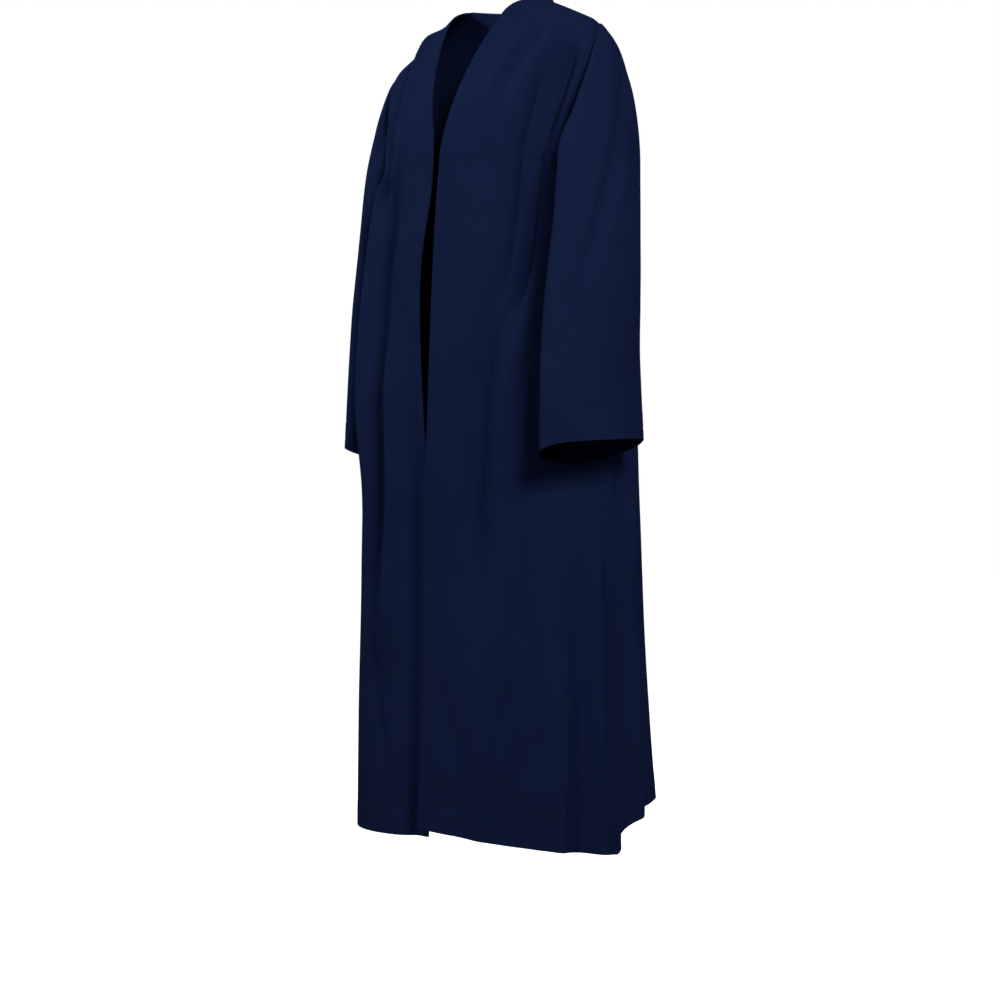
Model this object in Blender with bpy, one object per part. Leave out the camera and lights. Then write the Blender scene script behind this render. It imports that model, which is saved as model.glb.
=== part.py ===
"""An open-fronted prayer robe with wide straight sleeves, as it hangs when it is worn.

Five sewn pieces: two fronts, a back and two sleeves. Each is a thin wall of cloth over a smooth surface.
A panel's surface is read from a short table, with a row for each level from the shoulder seam to the hem.
A sleeve's surface is read from a table with a row for each ring from the armhole to the cuff.

Metres, +Z up. The robe faces -Y and its left side is +X. The origin is the centre of the neck, level with
the neck ends of the shoulder seams.
"""

import bpy
import numpy as np

# Driving dimensions
CLOTH = 0.002
SEAM_GAP = 0.0003
SHOULDER_TILT = 0.015
TILT_FROM = -0.35
TILT_FULL = -0.08

# How finely the surfaces are divided
ARMHOLE_STEPS = 10
SIDE_STEPS = 11
FRONT_STEPS = 20
NECK_STEPS = 6
SLEEVE_STEPS = 12

# Edges that bend by more than this are shaded sharp, in radians
SHARP_ANGLE = 0.9

# The share of a panel's width from which its surface is drawn to the side line
FIT_FROM = 0.6

# The share of half the back's width that lies under the neck
NECK_SHARE = 0.3

LEFT = 1
RIGHT = -1


def table(columns, rows):
    """Turns rows of numbers into named columns."""
    names = columns.split()
    return {name: np.array([row[i] for row in rows]) for i, name in enumerate(names)}


def points(columns, name):
    """The three columns NAME_x, NAME_y and NAME_z, as one point for each row."""
    return np.stack([columns[name + "_x"], columns[name + "_y"], columns[name + "_z"]], axis=1)


# The line down each side of the body. The first seven rows are the armhole, front and back, from the
# shoulder tip to the underarm, and the rest is the side seam. down is the distance from the shoulder.
SIDE = table(
    "down   front_x front_y front_z  back_x  back_y  back_z",
    [
        [0.000, 0.210, -0.006, -0.060, 0.210, -0.006, -0.060],
        [0.044, 0.226, -0.034, -0.089, 0.216, 0.022, -0.090],
        [0.092, 0.228, -0.047, -0.130, 0.221, 0.041, -0.132],
        [0.146, 0.221, -0.055, -0.179, 0.219, 0.053, -0.181],
        [0.203, 0.206, -0.070, -0.230, 0.213, 0.059, -0.231],
        [0.260, 0.200, -0.062, -0.280, 0.206, 0.044, -0.279],
        [0.327, 0.198, -0.012, -0.305, 0.198, -0.012, -0.305],
        [0.452, 0.206, -0.010, -0.430, 0.206, -0.010, -0.430],
        [0.622, 0.220, -0.010, -0.600, 0.220, -0.010, -0.600],
        [0.823, 0.235, -0.011, -0.800, 0.235, -0.011, -0.800],
        [1.083, 0.248, -0.015, -1.060, 0.248, -0.015, -1.060],
        [1.355, 0.259, -0.019, -1.331, 0.259, -0.019, -1.331],
    ],
)
UNDERARM_ROW = 6

# The free edge of each front, from the neck end of the shoulder seam down the V neck to the hem. x is
# measured from the middle towards that front's own side.
EDGE_LEFT = table(
    "edge_x edge_y edge_z",
    [
        [0.0770, -0.008, 0.000],
        [0.0650, -0.053, -0.020],
        [0.0553, -0.083, -0.058],
        [0.0415, -0.112, -0.110],
        [0.0264, -0.136, -0.172],
        [0.0100, -0.1475, -0.235],
        [0.0045, -0.152, -0.300],
        [-0.0010, -0.157, -0.425],
        [-0.0047, -0.162, -0.590],
        [-0.0085, -0.1665, -0.790],
        [-0.0060, -0.170, -1.040],
        [-0.0130, -0.177, -1.303],
    ],
)
EDGE_RIGHT = table(
    "edge_x edge_y edge_z",
    [
        [0.0770, -0.008, 0.000],
        [0.0650, -0.053, -0.020],
        [0.0553, -0.083, -0.058],
        [0.0415, -0.112, -0.110],
        [0.0264, -0.136, -0.172],
        [0.0110, -0.1475, -0.235],
        [0.0106, -0.151, -0.300],
        [0.0310, -0.155, -0.425],
        [0.0285, -0.158, -0.590],
        [0.0080, -0.1595, -0.790],
        [0.0020, -0.163, -1.040],
        [-0.0005, -0.169, -1.316],
    ],
)

# How a front swells between its edge and its side, at each level: the pull of its curve away from each.
FRONT_SWELL = table(
    "edge_x edge_y edge_z  side_x  side_y side_z",
    [
        [0.045, 0.000, -0.016, -0.050, -0.002, 0.024],
        [0.050, 0.000, -0.034, -0.055, -0.012, 0.018],
        [0.060, -0.002, -0.020, -0.055, -0.028, 0.022],
        [0.065, -0.003, -0.020, -0.050, -0.045, 0.020],
        [0.075, -0.003, -0.018, -0.035, -0.045, 0.018],
        [0.085, -0.003, -0.012, -0.015, -0.060, 0.012],
        [0.112, -0.004, -0.002, 0.006, -0.112, 0.002],
        [0.140, -0.005, 0.000, 0.005, -0.115, 0.000],
        [0.165, -0.007, 0.000, 0.006, -0.125, 0.000],
        [0.180, -0.008, 0.000, 0.004, -0.130, 0.000],
        [0.175, -0.006, -0.007, 0.002, -0.125, 0.007],
        [0.165, -0.004, -0.012, 0.000, -0.115, 0.012],
    ],
)

# The middle line of the back, and how each half swells between it and the side.
BACK_LEVELS = table(
    "middle_x middle_y middle_z  out_x  out_y  out_z  side_x side_y side_z",
    [
        [0.0, 0.078, 0.004, 0.045, 0.000, 0.002, 0.002, 0.053, 0.008],
        [0.0, 0.091, -0.035, 0.090, -0.004, 0.004, -0.060, 0.022, 0.022],
        [0.0, 0.102, -0.085, 0.090, 0.000, -0.002, -0.060, 0.030, 0.018],
        [0.0, 0.113, -0.140, 0.100, 0.000, -0.004, -0.050, 0.040, 0.015],
        [0.0, 0.120, -0.200, 0.100, 0.000, -0.004, -0.040, 0.040, 0.012],
        [0.0, 0.125, -0.260, 0.105, 0.000, -0.004, -0.010, 0.055, 0.010],
        [0.0, 0.129, -0.320, 0.120, 0.000, 0.000, 0.004, 0.090, 0.000],
        [0.0, 0.138, -0.440, 0.135, 0.000, 0.000, 0.006, 0.105, 0.000],
        [0.0, 0.154, -0.600, 0.150, 0.000, 0.000, 0.008, 0.120, 0.000],
        [0.0, 0.162, -0.790, 0.150, 0.000, 0.000, 0.006, 0.107, 0.000],
        [0.0, 0.176, -1.035, 0.148, 0.000, 0.000, 0.002, 0.098, 0.020],
        [0.0, 0.198, -1.268, 0.165, 0.000, 0.000, -0.004, 0.108, 0.100],
    ],
)

# The rings of each sleeve, from the armhole to the cuff: the points of the ring that lie outermost,
# foremost, nearest to the body and rearmost. along is the distance from the armhole.
SLEEVE_COLUMNS = (
    "along outer_x outer_y outer_z front_x front_y front_z inner_x inner_y inner_z back_x back_y back_z"
)
SLEEVE_LEFT = table(
    SLEEVE_COLUMNS,
    [
        [0.00, 0.210, -0.006, -0.060, 0.219, -0.058, -0.190, 0.198, -0.012, -0.305, 0.218, 0.055, -0.190],
        [0.05, 0.228, -0.008, -0.083, 0.232, -0.100, -0.235, 0.208, -0.024, -0.332, 0.225, 0.044, -0.228],
        [0.12, 0.257, -0.022, -0.142, 0.243, -0.128, -0.300, 0.217, -0.040, -0.372, 0.238, 0.040, -0.290],
        [0.23, 0.290, -0.062, -0.280, 0.252, -0.150, -0.390, 0.227, -0.070, -0.450, 0.250, 0.032, -0.390],
        [0.39, 0.310, -0.090, -0.480, 0.266, -0.184, -0.540, 0.236, -0.094, -0.585, 0.268, 0.014, -0.560],
        [0.57, 0.326, -0.101, -0.714, 0.281, -0.2045, -0.729, 0.243, -0.102, -0.748, 0.285, 0.0035, -0.716],
    ],
)
SLEEVE_RIGHT = table(
    SLEEVE_COLUMNS,
    [
        [0.00, 0.210, -0.006, -0.060, 0.219, -0.058, -0.190, 0.198, -0.012, -0.305, 0.218, 0.055, -0.190],
        [0.05, 0.232, 0.000, -0.088, 0.232, -0.073, -0.235, 0.208, -0.010, -0.332, 0.229, 0.062, -0.228],
        [0.12, 0.262, 0.003, -0.146, 0.245, -0.078, -0.300, 0.218, 0.010, -0.372, 0.240, 0.078, -0.290],
        [0.23, 0.290, 0.010, -0.280, 0.254, -0.084, -0.390, 0.229, 0.012, -0.450, 0.250, 0.094, -0.390],
        [0.39, 0.312, 0.018, -0.480, 0.268, -0.088, -0.540, 0.240, 0.021, -0.585, 0.268, 0.1135, -0.560],
        [0.57, 0.328, 0.022, -0.703, 0.288, -0.083, -0.710, 0.247, 0.023, -0.733, 0.285, 0.128, -0.715],
    ],
)
# The part of a sleeve's length over which its rings turn into the armhole's own line
ARMHOLE_BLEND = 0.20

# The largest folds, a row for each: where it starts and ends down the panel, how far it lies from the
# front edge (or on the back from the middle, to the left) at its start, half way and at its end, half its
# width, its height (below zero for a trough), and the lengths over which it rises and dies away.
FOLD_COLUMNS = "start  end  at_start at_half at_end  half_width height  ease_in ease_out"
FOLDS_LEFT = table(
    FOLD_COLUMNS,
    [
        [0.07, 0.62, 0.120, 0.152, 0.122, 0.020, -0.023, 0.12, 0.16],
        [0.46, 1.22, 0.128, 0.110, 0.114, 0.023, -0.017, 0.16, 0.40],
        [0.55, 1.05, 0.192, 0.194, 0.188, 0.022, 0.006, 0.15, 0.25],
        [0.85, 1.50, 0.272, 0.285, 0.298, 0.022, -0.014, 0.30, 0.01],
        [1.05, 1.50, 0.246, 0.254, 0.258, 0.020, 0.007, 0.20, 0.01],
        [1.10, 1.50, 0.056, 0.080, 0.092, 0.024, -0.004, 0.12, 0.01],
    ],
)
FOLDS_RIGHT = table(
    FOLD_COLUMNS,
    [
        [0.04, 0.44, 0.027, 0.071, 0.118, 0.018, 0.009, 0.05, 0.14],
        [0.48, 1.18, 0.072, 0.090, 0.104, 0.018, 0.010, 0.20, 0.18],
        [0.28, 1.12, 0.096, 0.103, 0.146, 0.022, -0.020, 0.14, 0.30],
        [0.22, 0.95, 0.150, 0.150, 0.174, 0.018, 0.010, 0.15, 0.30],
        [0.62, 1.50, 0.034, 0.036, 0.036, 0.022, -0.014, 0.25, 0.10],
        [0.85, 1.50, 0.260, 0.275, 0.290, 0.026, -0.008, 0.30, 0.01],
    ],
)
FOLDS_BACK = table(
    FOLD_COLUMNS,
    [
        [0.20, 1.50, -0.012, -0.018, -0.030, 0.034, -0.012, 0.60, 0.01],
        [0.35, 1.50, 0.060, 0.070, 0.072, 0.030, 0.011, 0.70, 0.01],
        [0.28, 1.50, 0.125, 0.145, 0.150, 0.030, -0.013, 0.60, 0.01],
        [0.60, 1.50, 0.200, 0.215, 0.225, 0.028, 0.010, 0.60, 0.01],
        [0.60, 1.50, 0.290, 0.332, 0.355, 0.030, -0.017, 0.30, 0.01],
        [0.45, 1.50, -0.085, -0.092, -0.100, 0.030, 0.010, 0.70, 0.01],
        [0.25, 1.50, -0.140, -0.165, -0.178, 0.032, -0.012, 0.60, 0.01],
        [0.75, 1.50, -0.225, -0.240, -0.255, 0.028, 0.009, 0.50, 0.01],
        [0.90, 1.50, -0.300, -0.318, -0.325, 0.024, -0.008, 0.40, 0.01],
    ],
)
# The same for the sleeves: places and widths are shares of a full turn, from the outermost line forward.
SLEEVE_FOLDS_LEFT = table(
    FOLD_COLUMNS,
    [
        [0.06, 0.44, 0.060, -0.030, -0.150, 0.060, 0.004, 0.12, 0.12],
        [0.38, 0.60, -0.120, -0.100, -0.095, 0.050, -0.005, 0.08, 0.02],
        [0.12, 0.60, -0.250, -0.220, -0.205, 0.060, -0.004, 0.15, 0.02],
    ],
)
SLEEVE_FOLDS_RIGHT = table(
    FOLD_COLUMNS,
    [
        [0.08, 0.48, 0.050, -0.020, -0.120, 0.060, 0.004, 0.12, 0.12],
        [0.30, 0.60, 0.100, 0.110, 0.115, 0.060, -0.006, 0.12, 0.02],
        [0.14, 0.60, -0.200, -0.200, -0.185, 0.060, -0.005, 0.15, 0.02],
    ],
)
# Folds die away over this length beside a seam
SEAM_CALM = 0.03


def ramp(value, start, end):
    """0 before start, 1 after end, and a soft step between them."""
    share = np.clip((value - start) / (end - start), 0.0, 1.0)
    return share * share * (3.0 - 2.0 * share)


def smooth(knots, values, at):
    """A smooth curve through the rows of values, which stand at the knots, read at the places in at."""
    gaps = np.diff(knots)
    shape = (-1,) + (1,) * (values.ndim - 1)
    steps = np.diff(values, axis=0) / gaps.reshape(shape)
    before = gaps[:-1].reshape(shape)
    after = gaps[1:].reshape(shape)
    slopes = np.empty_like(values)
    slopes[1:-1] = (steps[:-1] * after + steps[1:] * before) / (before + after)
    slopes[0] = 1.5 * steps[0] - 0.5 * slopes[1]
    slopes[-1] = 1.5 * steps[-1] - 0.5 * slopes[-2]
    row = np.clip(np.searchsorted(knots, at, side="right") - 1, 0, len(knots) - 2)
    gap = gaps[row].reshape(shape)
    t = (np.asarray(at) - knots[row]).reshape(shape) / gap
    return (
        values[row] * (1 + 2 * t) * (1 - t) ** 2
        + values[row + 1] * t * t * (3 - 2 * t)
        + slopes[row] * gap * t * (1 - t) ** 2
        - slopes[row + 1] * gap * t * t * (1 - t)
    )


def arc(start, start_pull, end, end_pull, across):
    """A row of Bezier curves from start to end, read at each share in across."""
    t = across[None, :, None]
    first, last = start[:, None], end[:, None]
    near, far = (start + start_pull)[:, None], (end + end_pull)[:, None]
    return (
        first * (1 - t) ** 3
        + near * 3 * t * (1 - t) ** 2
        + far * 3 * t * t * (1 - t)
        + last * t**3
    )


def tilted(grid):
    """The shoulders stand a little lower on the left: the tilt fades out towards the underarm."""
    moved = grid.copy()
    moved[..., 2] -= SHOULDER_TILT * grid[..., 0] * ramp(grid[..., 2], TILT_FROM, TILT_FULL)
    return moved


def mirrored(grid, side):
    return grid * np.array([side, 1, 1])


def down_rows():
    """The distances down the side at which a panel has its rows. The armhole has rows of its own."""
    underarm, hem = SIDE["down"][UNDERARM_ROW], SIDE["down"][-1]
    armhole = np.linspace(0, underarm, ARMHOLE_STEPS + 1)
    seam = np.linspace(underarm, hem, SIDE_STEPS + 1)
    return np.concatenate([armhole, seam[1:]])


def side_line(which, down):
    """The armhole and side seam of the front or the back panel, with a corner at the underarm."""
    knots, line = SIDE["down"], points(SIDE, which)
    armhole = smooth(knots[: UNDERARM_ROW + 1], line[: UNDERARM_ROW + 1], down)
    seam = smooth(knots[UNDERARM_ROW:], line[UNDERARM_ROW:], down)
    return np.where(down[:, None] <= knots[UNDERARM_ROW], armhole, seam)


def fitted_to_side(grid, line, across):
    """Draws the outer part of a panel's surface to its side line."""
    miss = line - grid[:, -1]
    return grid + miss[:, None] * ramp(across, FIT_FROM, 1)[None, :, None]


def front_surface(edge, side, across, down):
    """A front, as a grid of points: a row for each distance down, from the front edge to the side."""
    levels = arc(
        points(edge, "edge"),
        points(FRONT_SWELL, "edge"),
        points(SIDE, "front"),
        points(FRONT_SWELL, "side"),
        across,
    )
    grid = smooth(SIDE["down"], levels, down)
    grid = fitted_to_side(grid, side_line("front", down), across)
    return tilted(mirrored(grid, side))


def back_surface(neck, shoulder, down):
    """Half the back, from the middle line to the side, as it is on the left. The first row follows the
    neck edge and then the shoulder seam, which is the first row of a front."""
    across = np.concatenate([neck * NECK_SHARE, NECK_SHARE + shoulder[1:] * (1 - NECK_SHARE)])
    middle, middle_pull = points(BACK_LEVELS, "middle"), points(BACK_LEVELS, "out")
    side_pull = points(BACK_LEVELS, "side")
    levels = arc(middle, middle_pull, points(SIDE, "back"), side_pull, across)
    neck_end = points(EDGE_LEFT, "edge")[:1]
    neck_row = arc(middle[:1], middle_pull[:1], neck_end, side_pull[:1], neck)
    seam_row = arc(
        neck_end,
        points(FRONT_SWELL, "edge")[:1],
        points(SIDE, "front")[:1],
        points(FRONT_SWELL, "side")[:1],
        shoulder,
    )
    levels[0] = np.concatenate([neck_row[0], seam_row[0, 1:]])
    grid = smooth(SIDE["down"], levels, down)
    return fitted_to_side(grid, side_line("back", down), across)


def whole_back(neck, shoulder, down):
    """The back from the right side seam to the left one."""
    left = back_surface(neck, shoulder, down)
    right = mirrored(left, RIGHT)[:, ::-1]
    return tilted(np.concatenate([right[:, :-1], left], axis=1))


def armhole_ring(down):
    """The armhole as a ring: from the shoulder tip down its front to the underarm, and up its back."""
    front = side_line("front", down)
    back = side_line("back", down)
    return np.concatenate([front, back[-2:0:-1]])


def sleeve_surface(rings, side, down, along):
    """A sleeve as a grid of rings. Each ring has the armhole's own points round it."""
    steps = len(down) - 1
    turn = np.pi * np.arange(2 * steps) / steps
    outer, front = points(rings, "outer"), points(rings, "front")
    inner, back = points(rings, "inner"), points(rings, "back")
    wave = (np.cos(turn)[None, :, None], np.sin(turn)[None, :, None], np.cos(2 * turn)[None, :, None])
    levels = (
        ((outer + front + inner + back) / 4)[:, None]
        + ((outer - inner) / 2)[:, None] * wave[0]
        + ((front - back) / 2)[:, None] * wave[1]
        + ((outer + inner - front - back) / 4)[:, None] * wave[2]
    )
    grid = smooth(rings["along"], levels, along)
    part_of_armhole = 1 - ramp(along, 0, ARMHOLE_BLEND)
    grid += part_of_armhole[:, None, None] * (armhole_ring(down) - grid[0])
    return tilted(mirrored(grid, side))


def normals_of(grid, closed):
    """The outward normals of a grid whose rows run anticlockwise, seen from above."""
    if closed:
        wide = np.concatenate([grid[:, -1:], grid, grid[:, :1]], axis=1)
        across = (wide[:, 2:] - wide[:, :-2]) / 2
    else:
        across = np.gradient(grid, axis=1)
    normals = np.cross(np.gradient(grid, axis=0), across)
    return normals / np.linalg.norm(normals, axis=2, keepdims=True)


def fold_heights(place, down, folds):
    """How far the folds lift each point of a grid. place is each point's place across its row."""
    height = np.zeros_like(place)
    for start, end, at_start, at_half, at_end, half_width, top, ease_in, ease_out in zip(*folds.values()):
        line = smooth(
            np.array([start, (start + end) / 2, end]),
            np.array([at_start, at_half, at_end]),
            np.clip(down, start, end),
        )
        strength = ramp(down, start, start + ease_in) * (1 - ramp(down, end - ease_out, end))
        height += top * strength[:, None] * np.exp(-(((place - line[:, None]) / half_width) ** 2))
    return height


def place_along_rows(grid, zero_column):
    """How far each point of a grid lies from the column at zero_column, along its own row."""
    steps = np.linalg.norm(np.diff(grid, axis=1), axis=2)
    place = np.concatenate([np.zeros((len(grid), 1)), np.cumsum(steps, axis=1)], axis=1)
    return place - place[:, zero_column, None]


def fold_panel(grid, zero_column, seam_columns, down, folds, outward):
    """Adds the folds to a front or the back. They die away beside its seams."""
    place = place_along_rows(grid, zero_column)
    height = fold_heights(place, down, folds) * ramp(down, 0, SEAM_CALM)[:, None]
    for column in seam_columns:
        height *= ramp(np.abs(place - place[:, column, None]), 0, SEAM_CALM)
    return grid + outward * normals_of(grid, False) * height[..., None]


def fold_sleeve(grid, along, folds, outward):
    """Adds the folds to a sleeve, whose ring closes on itself."""
    turn = np.arange(grid.shape[1]) / grid.shape[1]
    turn = np.repeat(turn[None, :], len(grid), axis=0)
    height = sum(fold_heights(turn + whole, along, folds) for whole in (-1, 0, 1))
    return grid + outward * normals_of(grid, True) * height[..., None]


def material(name, colour, roughness):
    made = bpy.data.materials.new(name)
    made.use_nodes = True
    shader = made.node_tree.nodes["Principled BSDF"]
    shader.inputs["Base Color"].default_value = (*colour, 1)
    shader.inputs["Roughness"].default_value = roughness
    shader.inputs["Metallic"].default_value = 0
    return made


class Panel:
    """A piece of cloth: its outer points, their normals, and which of its edges are sewn."""

    def __init__(self, name, grid, closed=False):
        self.name = name
        self.grid = grid
        self.closed = closed
        self.normals = normals_of(grid, closed)
        self.seams = []

    def sew(self, place, away):
        """Says that the row or column at place is a seam, whose cloth draws back in the direction away."""
        self.seams.append((place, np.array(away, float)))


def joined_normal(own, others):
    """One normal for pieces that meet flat or in a ridge. In a sharp crease each piece keeps its own."""
    total = ramp(others @ own, 0, 0.5) @ others
    return total / np.linalg.norm(total)


def share_seam_normals(panels):
    """Gives the points that pieces share one normal, so that their walls meet edge to edge."""
    met = {}
    for panel in panels:
        for place, _ in panel.seams:
            keys = [tuple(point) for point in np.round(panel.grid[place], 6)]
            for key, normal in zip(keys, panel.normals[place]):
                met.setdefault(key, {})[panel.name] = normal.copy()
    for panel in panels:
        for place, _ in panel.seams:
            keys = [tuple(point) for point in np.round(panel.grid[place], 6)]
            shared = [joined_normal(met[key][panel.name], np.array(list(met[key].values()))) for key in keys]
            panel.normals[place] = np.array(shared)


def draw_back(panel):
    """Moves each sewn edge half the seam gap away from its neighbour, along the cloth."""
    shift = np.zeros_like(panel.grid)
    for place, away in panel.seams:
        line = np.gradient(panel.grid[place], axis=0)
        sideways = np.cross(line, panel.normals[place])
        sideways /= np.linalg.norm(sideways, axis=1, keepdims=True)
        sideways *= np.sign(sideways @ away)[:, None]
        shift[place] += sideways * SEAM_GAP / 2
    panel.grid = panel.grid + shift


def wall(panel, cloth_material):
    """Makes a closed wall of cloth: the panel's points, the same points moved in, and a rim."""
    rows, columns = panel.grid.shape[:2]
    inside = panel.grid - panel.normals * CLOTH
    corners = np.concatenate([panel.grid.reshape(-1, 3), inside.reshape(-1, 3)])
    count = rows * columns

    def number(row, column):
        return row * columns + column % columns

    def rim(a, b):
        """Two triangles from an outer edge to the inner one, split alike on both sides of a seam."""
        inner_a, inner_b = a + count, b + count
        if corners[a][2] > corners[b][2]:
            return [(a, b, inner_b), (a, inner_b, inner_a)]
        return [(a, b, inner_a), (b, inner_b, inner_a)]

    across = columns if panel.closed else columns - 1
    faces = []
    for row in range(rows - 1):
        for column in range(across):
            a, b = number(row, column), number(row, column + 1)
            c, d = number(row + 1, column + 1), number(row + 1, column)
            faces.append((a, d, c, b))
            faces.append((a + count, b + count, c + count, d + count))
    for column in range(across):
        faces += rim(number(0, column), number(0, column + 1))
        faces += rim(number(rows - 1, column + 1), number(rows - 1, column))
    if not panel.closed:
        for row in range(rows - 1):
            faces += rim(number(row + 1, 0), number(row, 0))
            faces += rim(number(row, columns - 1), number(row + 1, columns - 1))
    mesh = bpy.data.meshes.new(panel.name)
    mesh.from_pydata(corners.tolist(), [], faces)
    mesh.materials.append(cloth_material)
    mesh.shade_smooth()
    mesh.set_sharp_from_angle(angle=SHARP_ANGLE)
    obj = bpy.data.objects.new(panel.name, mesh)
    bpy.context.scene.collection.objects.link(obj)
    return obj


def front(edge, side, folds, across, down):
    grid = front_surface(edge, side, across, down)
    return fold_panel(grid, 0, [-1], down, folds, side)


def fronts(down):
    across = np.linspace(0, 1, FRONT_STEPS + 1)
    left = Panel("front_left", front(EDGE_LEFT, LEFT, FOLDS_LEFT, across, down))
    right = Panel("front_right", front(EDGE_RIGHT, RIGHT, FOLDS_RIGHT, across, down)[:, ::-1])
    seam = slice(ARMHOLE_STEPS, None)
    armhole = slice(0, ARMHOLE_STEPS + 1)
    for panel, column, side in ((left, -1, LEFT), (right, 0, RIGHT)):
        panel.sew((0, slice(None)), (0, -1, 0))
        panel.sew((armhole, column), (-side, 0, 0))
        panel.sew((seam, column), (0, -1, 0))
    return [left, right]


def back(down):
    neck = np.linspace(0, 1, NECK_STEPS + 1)
    shoulder = np.linspace(0, 1, FRONT_STEPS + 1)
    grid = whole_back(neck, shoulder, down)
    grid = fold_panel(grid, NECK_STEPS + FRONT_STEPS, [0, -1], down, FOLDS_BACK, RIGHT)
    panel = Panel("back", grid[:, ::-1])
    seam = slice(ARMHOLE_STEPS, None)
    armhole = slice(0, ARMHOLE_STEPS + 1)
    panel.sew((0, slice(0, FRONT_STEPS + 1)), (0, 1, 0))
    panel.sew((0, slice(-FRONT_STEPS - 1, None)), (0, 1, 0))
    for column, side in ((0, LEFT), (-1, RIGHT)):
        panel.sew((armhole, column), (-side, 0, 0))
        panel.sew((seam, column), (0, 1, 0))
    return panel


def sleeves(down):
    armhole = down[: ARMHOLE_STEPS + 1]
    made = []
    for name, rings, folds, side in (
        ("sleeve_left", SLEEVE_LEFT, SLEEVE_FOLDS_LEFT, LEFT),
        ("sleeve_right", SLEEVE_RIGHT, SLEEVE_FOLDS_RIGHT, RIGHT),
    ):
        along = np.linspace(0, rings["along"][-1], SLEEVE_STEPS + 1)
        grid = sleeve_surface(rings, side, armhole, along)
        grid = fold_sleeve(grid, along, folds, -side)
        # The left ring runs clockwise, seen from above, until it is turned round.
        panel = Panel(name, grid[:, ::-side], closed=True)
        panel.sew((0, slice(None)), (side, 0, 0))
        made.append(panel)
    return made


def build():
    for obj in list(bpy.data.objects):
        bpy.data.objects.remove(obj, do_unlink=True)
    navy = material("navy_cloth", (0.008, 0.016, 0.052), 0.7)
    down = down_rows()
    panels = [*fronts(down), back(down), *sleeves(down)]
    share_seam_normals(panels)
    for panel in panels:
        draw_back(panel)
        wall(panel, navy)


build()
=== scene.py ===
"""The looks of an open-fronted prayer robe: five thin pieces of navy cloth, hanging as they are worn.

Each piece is a thin shell on the form of its CAD solid. The tables of the body, the sleeves and their large
folds repeat the ones that the solids are made from. Further creases, seams, hems and turned edges are added
here. Metres, +Z up. The robe faces -Y and its left side is +X.
"""

import math

import bpy
import numpy as np
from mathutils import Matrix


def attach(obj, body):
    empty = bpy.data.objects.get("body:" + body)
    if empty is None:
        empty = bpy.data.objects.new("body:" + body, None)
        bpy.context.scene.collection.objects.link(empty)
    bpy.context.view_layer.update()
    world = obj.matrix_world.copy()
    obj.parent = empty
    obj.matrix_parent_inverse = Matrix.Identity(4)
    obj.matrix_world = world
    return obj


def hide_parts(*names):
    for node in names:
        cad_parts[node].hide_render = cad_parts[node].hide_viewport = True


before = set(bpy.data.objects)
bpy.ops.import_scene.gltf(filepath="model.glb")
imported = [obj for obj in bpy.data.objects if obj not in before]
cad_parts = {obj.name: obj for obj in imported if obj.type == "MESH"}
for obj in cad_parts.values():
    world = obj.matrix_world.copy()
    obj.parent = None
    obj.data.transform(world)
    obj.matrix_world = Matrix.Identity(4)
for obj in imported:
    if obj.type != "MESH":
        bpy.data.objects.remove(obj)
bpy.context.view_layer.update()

# The cloth's thickness, single and turned double
CLOTH = 0.0009
DOUBLE = 0.0022

# How much lower each metre to the left lies at the shoulders, and the heights between which that fades in
SHOULDER_TILT = 0.015
TILT_FROM = -0.35
TILT_FULL = -0.08

# How finely the surfaces are divided
ARMHOLE_STEPS = 56
SIDE_STEPS = 120
HEM_STEPS = 26
FRONT_STEPS = 84
NECK_STEPS = 16
EDGE_STEPS = 8
SLEEVE_STEPS = 96
CUFF_STEPS = 24

# Where the steps lie closer together: this far above a turned hem or cuff, and over this share of a front
HEM_MARGIN = 0.008
CUFF_MARGIN = 0.006
EDGE_SHARE = 0.06

# Hems: how deep the cloth is turned up, and how its upper edge shows on the outside
HEM_DEPTH = 0.040
CUFF_DEPTH = 0.045
CUFF_STITCH = 0.017
FRONT_TURN = 0.011
LINE_WIDTH = 0.0016
LINE_DEPTH = 0.0004
TURN_LIFT = 0.0003
TURN_SOFTNESS = 0.001

# Seams: the dip in the cloth beside each one, and the small puckers along it, whose waves are in radians a
# metre, or round a sleeve in radians a turn
SEAM_DIP = 0.0016
SEAM_WIDTH = 0.0045
PUCKER_HEIGHT = 0.00035
PUCKER_START = 0.004
PUCKER_REACH = 0.016
PUCKER_WAVE = 260
PUCKER_WANDER = 2.0
WANDER_WAVE = 37

# The deeper dip along an armhole, and how far down from the shoulder it fades out
ARMHOLE_DIP = 0.0040
ARMHOLE_DIP_WIDTH = 0.0075
ARMHOLE_DIP_FROM = 0.17
ARMHOLE_DIP_END = 0.30

# The cloth's slight unevenness: its height on the body and on a sleeve, its waves across and down the cloth
# in radians a metre, and the radius that it takes a sleeve to have
BODY_DRIFT = 0.0016
SLEEVE_DRIFT = 0.0014
DRIFT_WAVES = 7
DRIFT_ACROSS = (12, 60)
DRIFT_DOWN = (-7, 7)
SLEEVE_RADIUS = 0.07

# The seeds of the puckers, and of each piece's unevenness
TOP_SEED = 5
SIDE_SEED = 7
DRIFT_SEEDS = {"front_left": 3, "front_right": 4, "back": 11, "sleeve_left": 6, "sleeve_right": 8}

# Pieces that meet at less than this cosine share a normal only in part, and at 90 degrees each keeps its own.
# Faces that meet at more than the sharp angle are shaded with an edge
SHARED_COSINE = 0.5
SHARP_ANGLE = math.radians(60)

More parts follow.
